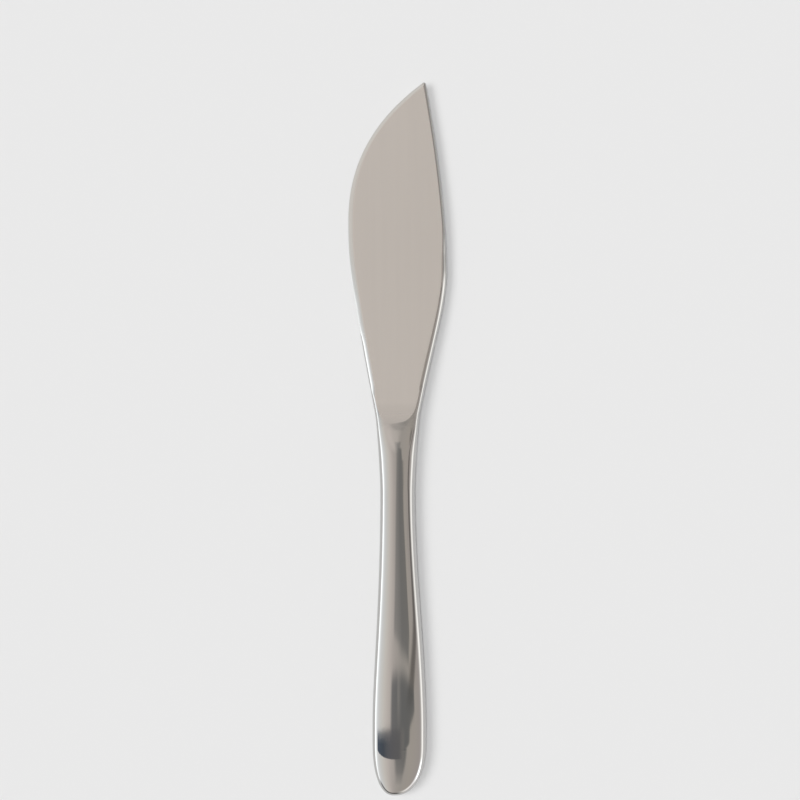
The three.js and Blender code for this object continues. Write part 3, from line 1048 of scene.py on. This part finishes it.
class Room:
    """Colour of the mirrored room: bright low walls, a dim ceiling and dark gear."""

    def __init__(self, sky):
        ray = sky.node("TexCoord", output="Generated")
        x, y, z = (sky.node("SeparateXYZ", inputs={0: ray}, output=k) for k in range(3))
        self.sky = sky
        self.from_zenith = sky.math("ARCCOSINE", z) * math.degrees(1)
        spread = self.from_zenith / sky.math("SQRT", JUST_OVER_ONE - z * z)
        self.across = x * spread
        self.down = y * spread * -1

    def run(self, place, stops):
        """Value that goes straight from each stop to the next, and is level before and after."""
        value = stops[0][1]
        for (start, first), (end, second) in zip(stops, stops[1:]):
            if second != first:
                value = self.sky.clamp((place - start) / (end - start)) * (second - first) + value
        return value

    def band(self, place, low, high, border):
        """1 between low and high, and 0 outside them."""
        over = self.sky.clamp((place - low) / border + 0.5)
        under = self.sky.clamp((high - place) / border + 0.5)
        return over * under

    def screen(self):
        bow = self.across * self.across * SCREEN_BOW
        near, far = SCREEN_DOWN
        low, high = bow + near, far - bow * SCREEN_FAR_BOW_SHARE
        depth = self.band(self.down, low, high, SCREEN_LONG_BORDER)
        return depth * self.band(self.across, *SCREEN_ACROSS, SCREEN_END_BORDER)

    def curtain(self):
        edge_side = self.run(self.down, CURTAIN_EDGE_SIDE)
        spine_side = self.run(self.down, CURTAIN_SPINE_SIDE)
        width = self.band(self.across, edge_side, spine_side, CURTAIN_LONG_BORDER)
        height = self.band(self.down, *CURTAIN_DOWN, CURTAIN_END_BORDER)
        return width * height * self.run(self.across, CURTAIN_SHARES)

    def stand(self):
        spine_side = self.run(self.down, STAND_SPINE_SIDE)
        width = self.band(self.across, STAND_EDGE_SIDE, spine_side, STAND_LONG_BORDER)
        height = self.band(self.down, *STAND_DOWN, STAND_END_BORDER)
        gap = self.band(self.across, *GAP_ACROSS, GAP_BORDER) * self.run(self.down, GAP_SHARES)
        return width * height * STAND_SHARE * (1 - gap)

    def foot(self):
        edge_side = self.run(self.down, FOOT_EDGE_SIDE)
        spine_side = self.run(self.down, FOOT_SPINE_SIDE)
        width = self.band(self.across, edge_side, spine_side, STAND_LONG_BORDER)
        return width * self.run(self.down, FOOT_SHARES) * self.run(self.down, FOOT_FADE)

    def rail(self):
        off_middle = self.across - self.run(self.down, RAIL_MIDDLE)
        width = self.band(off_middle, -RAIL_HALF_WIDTH, RAIL_HALF_WIDTH, RAIL_LONG_BORDER)
        return width * self.band(self.down, *RAIL_DOWN, RAIL_END_BORDER) * RAIL_SHARE

    def brace(self):
        off_middle = self.across - self.down * BRACE_LEAN - BRACE_FOOT
        width = self.band(off_middle, -BRACE_HALF_WIDTH, BRACE_HALF_WIDTH, BRACE_LONG_BORDER)
        return width * self.band(self.down, *BRACE_DOWN, RAIL_END_BORDER) * BRACE_SHARE

    def dim_parts(self):
        far_edge = self.run(self.across, FAR_EDGE_ACROSS) * self.run(self.down, FAR_EDGE_SHARES)
        far_spine = self.run(self.across, FAR_SPINE_ACROSS) * self.run(self.down, FAR_SPINE_SHARES)
        low = self.run(self.from_zenith, CORNER_FROM_ZENITH)
        corner = low * self.run(self.across, CORNER_ACROSS) * self.run(self.down, CORNER_SHARES)
        return far_edge, far_spine, corner

    def white_strip(self):
        height = self.band(self.from_zenith, *STRIP_FROM_ZENITH, STRIP_BORDER)
        return height * self.run(self.across, STRIP_ACROSS) * self.run(self.down, STRIP_DOWN)

    def walls(self):
        stops = [((place / WALL_REACH + 1) / 2, (*colour, 1)) for place, colour in WALLS]
        return self.sky.node("ValToRGB", {"stops": stops}, {0: (self.across / WALL_REACH + 1) / 2})

    def colour(self):
        """The walls, times the light that the other things leave or add."""
        screen, stand = self.screen(), self.stand()
        screen_share = screen * self.run(self.across, SCREEN_SHARES)
        gear = self.curtain(), (stand + self.foot()) * (1 - screen)
        light = self.run(self.across, GLOW_ACROSS) * self.run(self.down, GLOW_DOWN) + 1
        for share in (self.rail() * (1 - stand), self.brace(), *self.dim_parts()):
            light = light * (1 - share)
        strip = self.white_strip()
        channels = []
        for screen_tint, gear_tint, strip_tint in zip(SCREEN_TINT, GEAR_TINT, STRIP_TINT):
            left = light * (1 - screen_share * screen_tint)
            for share in gear:
                left = left * (1 - share * gear_tint)
            channels.append(left + strip * strip_tint)
        tinted = self.sky.node("CombineColor", inputs=dict(enumerate(channels)))
        inputs = {"Factor": 1.0, "A": self.walls(), "B": tinted}
        return self.sky.node("Mix", {"data_type": "RGBA", "blend_type": "MULTIPLY"}, inputs, output=2)


# What the camera sees behind the table, and the light that reaches everything but polish
BACKDROP = (0.81, 0.81, 0.81, 1)
ROOM_GREY = (0.18, 0.18, 0.18, 1)

world = bpy.data.worlds.new("studio")
bpy.context.scene.world = world
sky = Finish(world)
glossy = sky.node("LightPath", output="Is Glossy Ray")
direct = 1 - sky.clamp(sky.node("LightPath", output="Diffuse Depth"))
mirrored = sky.colour(direct * glossy, ROOM_GREY, Room(sky).colour())
seen = sky.colour(sky.node("LightPath", output="Is Camera Ray"), mirrored, BACKDROP)
background = sky.node("Background", inputs={"Color": seen, "Strength": 1.0})
sky.node("OutputWorld", inputs={"Surface": background})


def lamp(name, elevation, spread, share):
    """Distant soft light from the left, which gives that share of the light on the table."""
    data = bpy.data.lights.new(name, "SUN")
    data.angle = math.radians(spread)
    data.energy = share * math.pi / math.sin(math.radians(elevation))
    made = bpy.data.objects.new(name, data)
    made.rotation_euler = (0, -math.radians(90 - elevation), 0)
    made.visible_glossy = False
    bpy.context.scene.collection.objects.link(made)


lamp("window", elevation=60, spread=30, share=0.34)
lamp("ceiling", elevation=88, spread=12, share=0.51)

bpy.context.scene.view_settings.view_transform = "Standard"
